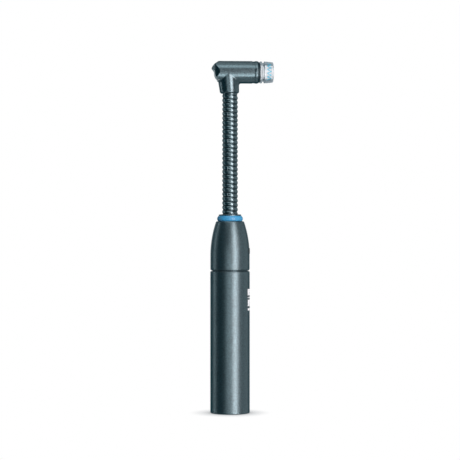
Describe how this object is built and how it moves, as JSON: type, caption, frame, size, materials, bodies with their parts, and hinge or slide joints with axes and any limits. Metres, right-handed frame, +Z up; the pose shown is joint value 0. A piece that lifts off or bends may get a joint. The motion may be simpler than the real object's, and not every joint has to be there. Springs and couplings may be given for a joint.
{
  "type": "prophy angle handpiece",
  "caption": "Cordless polishing handpiece: battery handle, tapered motor nose with colour ring, flexible ribbed neck and right-angle prophy head under a clear guard cap.",
  "frame": {"origin": "centre of the handle's foot, on its flat face", "axes": "+Z up the handle and neck; +X the way the head's barrel and its cup point"},
  "size_m": [0.0335, 0.021, 0.1875],
  "materials": {
    "satin_metal": "satin bead-blasted, dark petrol anodised",
    "neck_steel": "dark satin coated steel wire",
    "wedge_steel": "dark coated steel wire",
    "ring_blue": "satin blue",
    "clear_plastic": "clear moulded",
    "cup_rubber": "soft matte",
    "black_rubber": "matte",
    "button_plastic": "fine matte",
    "dark_plastic": "moulded",
    "board": "solder mask",
    "cell_wrap": "shrink wrapped cell can",
    "brass": "machined",
    "copper": "enamelled copper wire",
    "magnet": "sintered magnet",
    "steel": "machined"
  },
  "bodies": {
    "handle": {"battery_tube": "satin_metal", "base_cap": "satin_metal", "base_o_ring": "black_rubber", "charge_contact_pin": "brass", "charge_contact_ring": "brass", "contact_insulator": "dark_plastic", "battery_spring": "steel", "battery_cell": "cell_wrap", "positive_contact": "brass", "driver_board": "board", "joint_o_ring": "black_rubber", "nose_housing": "satin_metal", "button_seal": "black_rubber", "power_switch": "dark_plastic", "motor_carrier": "dark_plastic", "motor_can": "steel", "motor_magnets": "magnet", "motor_end_bell": "dark_plastic", "motor_bushes": "brass", "colour_ring": "ring_blue"},
    "button": {"power_button": "button_plastic"},
    "rotor": {"motor_rotor": "steel", "rotor_windings": "copper", "drive_coupling": "steel", "drive_cable_base": "steel"},
    "neck_base": {"neck_collar": "satin_metal", "neck_coil_base": "neck_steel", "neck_wedge_base": "wedge_steel"},
    "link_1": {"neck_coil_1": "neck_steel", "neck_wedge_1": "wedge_steel"},
    "cable_1": {"drive_cable_1": "steel"},
    "link_2": {"neck_coil_2": "neck_steel", "neck_wedge_2": "wedge_steel"},
    "cable_2": {"drive_cable_2": "steel"},
    "link_3": {"neck_coil_3": "neck_steel", "neck_wedge_3": "wedge_steel"},
    "cable_3": {"drive_cable_3": "steel"},
    "link_4": {"neck_coil_4": "neck_steel", "neck_wedge_4": "wedge_steel"},
    "cable_4": {"drive_cable_4": "steel"},
    "head": {"head_ferrule": "satin_metal", "neck_coil_head": "neck_steel", "neck_wedge_head": "wedge_steel", "head_housing": "satin_metal", "hinge_pin": "steel", "pinion_bushes": "brass", "spindle_rear_bush": "brass", "spindle_front_bush": "brass", "bearing_spacer": "steel", "front_retaining_ring": "satin_metal", "dust_seal": "black_rubber", "nose_ring": "clear_plastic"},
    "pinion": {"pinion_shaft": "steel", "pinion_gear": "steel"},
    "spindle": {"spindle": "steel", "crown_gear": "steel", "prophy_cup": "cup_rubber"},
    "rear_cap": {"rear_cap": "satin_metal"},
    "guard_cap": {"guard_cap": "clear_plastic"}
  },
  "joints": [
    {"name": "button_press", "type": "slide", "parent": "handle", "child": "button", "axis": [-0.9659, 0.2588, 0], "range_m": [0, 0.0006], "stiffness_N_per_m": 2500},
    {"name": "motor_spin", "type": "hinge", "parent": "handle", "child": "rotor", "pos_m": [0, 0, 0.0865], "axis": [0, 0, 1], "continuous": true},
    {"name": "neck_swivel", "type": "hinge", "parent": "handle", "child": "neck_base", "pos_m": [0, 0, 0.105], "axis": [0, 0, 1], "continuous": true},
    {"name": "neck_bend_1", "type": "hinge", "parent": "neck_base", "child": "link_1", "pos_m": [0, 0, 0.10899], "axis": [0, 1, 0], "range_deg": [-11, 11]},
    {"name": "neck_bend_2", "type": "hinge", "parent": "link_1", "child": "link_2", "pos_m": [0, 0, 0.12326], "axis": [0, 1, 0], "range_deg": [-11, 11]},
    {"name": "neck_bend_3", "type": "hinge", "parent": "link_2", "child": "link_3", "pos_m": [0, 0, 0.13753], "axis": [0, 1, 0], "range_deg": [-11, 11]},
    {"name": "neck_bend_4", "type": "hinge", "parent": "link_3", "child": "link_4", "pos_m": [0, 0, 0.15179], "axis": [0, 1, 0], "range_deg": [-11, 11]},
    {"name": "neck_bend_5", "type": "hinge", "parent": "link_4", "child": "head", "pos_m": [0, 0, 0.16606], "axis": [0, 1, 0], "range_deg": [-11, 11]},
    {"name": "cable_spin_1", "type": "hinge", "parent": "link_1", "child": "cable_1", "pos_m": [0, 0, 0.11612], "axis": [0, 0, 1], "continuous": true},
    {"name": "cable_spin_2", "type": "hinge", "parent": "link_2", "child": "cable_2", "pos_m": [0, 0, 0.13039], "axis": [0, 0, 1], "continuous": true},
    {"name": "cable_spin_3", "type": "hinge", "parent": "link_3", "child": "cable_3", "pos_m": [0, 0, 0.14466], "axis": [0, 0, 1], "continuous": true},
    {"name": "cable_spin_4", "type": "hinge", "parent": "link_4", "child": "cable_4", "pos_m": [0, 0, 0.15893], "axis": [0, 0, 1], "continuous": true},
    {"name": "pinion_spin", "type": "hinge", "parent": "head", "child": "pinion", "pos_m": [0, 0, 0.175], "axis": [0, 0, 1], "continuous": true},
    {"name": "spindle_spin", "type": "hinge", "parent": "head", "child": "spindle", "pos_m": [0.006, 0, 0.1815], "axis": [1, 0, 0], "continuous": true},
    {"name": "rear_cap_hinge", "type": "hinge", "parent": "head", "child": "rear_cap", "pos_m": [-0.0061, 0, 0.1773], "axis": [0, -1, 0], "range_deg": [0, 80]},
    {"name": "guard_pull", "type": "slide", "parent": "head", "child": "guard_cap", "axis": [1, 0, 0], "range_m": [0, 0.014]}
  ],
  "couplings": [
    {"joint": "neck_bend_2", "follows": "neck_bend_1", "ratio": 1},
    {"joint": "neck_bend_3", "follows": "neck_bend_1", "ratio": 1},
    {"joint": "neck_bend_4", "follows": "neck_bend_1", "ratio": 1},
    {"joint": "neck_bend_5", "follows": "neck_bend_1", "ratio": 1},
    {"joint": "cable_spin_1", "follows": "motor_spin", "ratio": 1},
    {"joint": "cable_spin_2", "follows": "motor_spin", "ratio": 1},
    {"joint": "cable_spin_3", "follows": "motor_spin", "ratio": 1},
    {"joint": "cable_spin_4", "follows": "motor_spin", "ratio": 1},
    {"joint": "pinion_spin", "follows": "motor_spin", "ratio": 1},
    {"joint": "spindle_spin", "follows": "motor_spin", "ratio": 0.75}
  ]
}
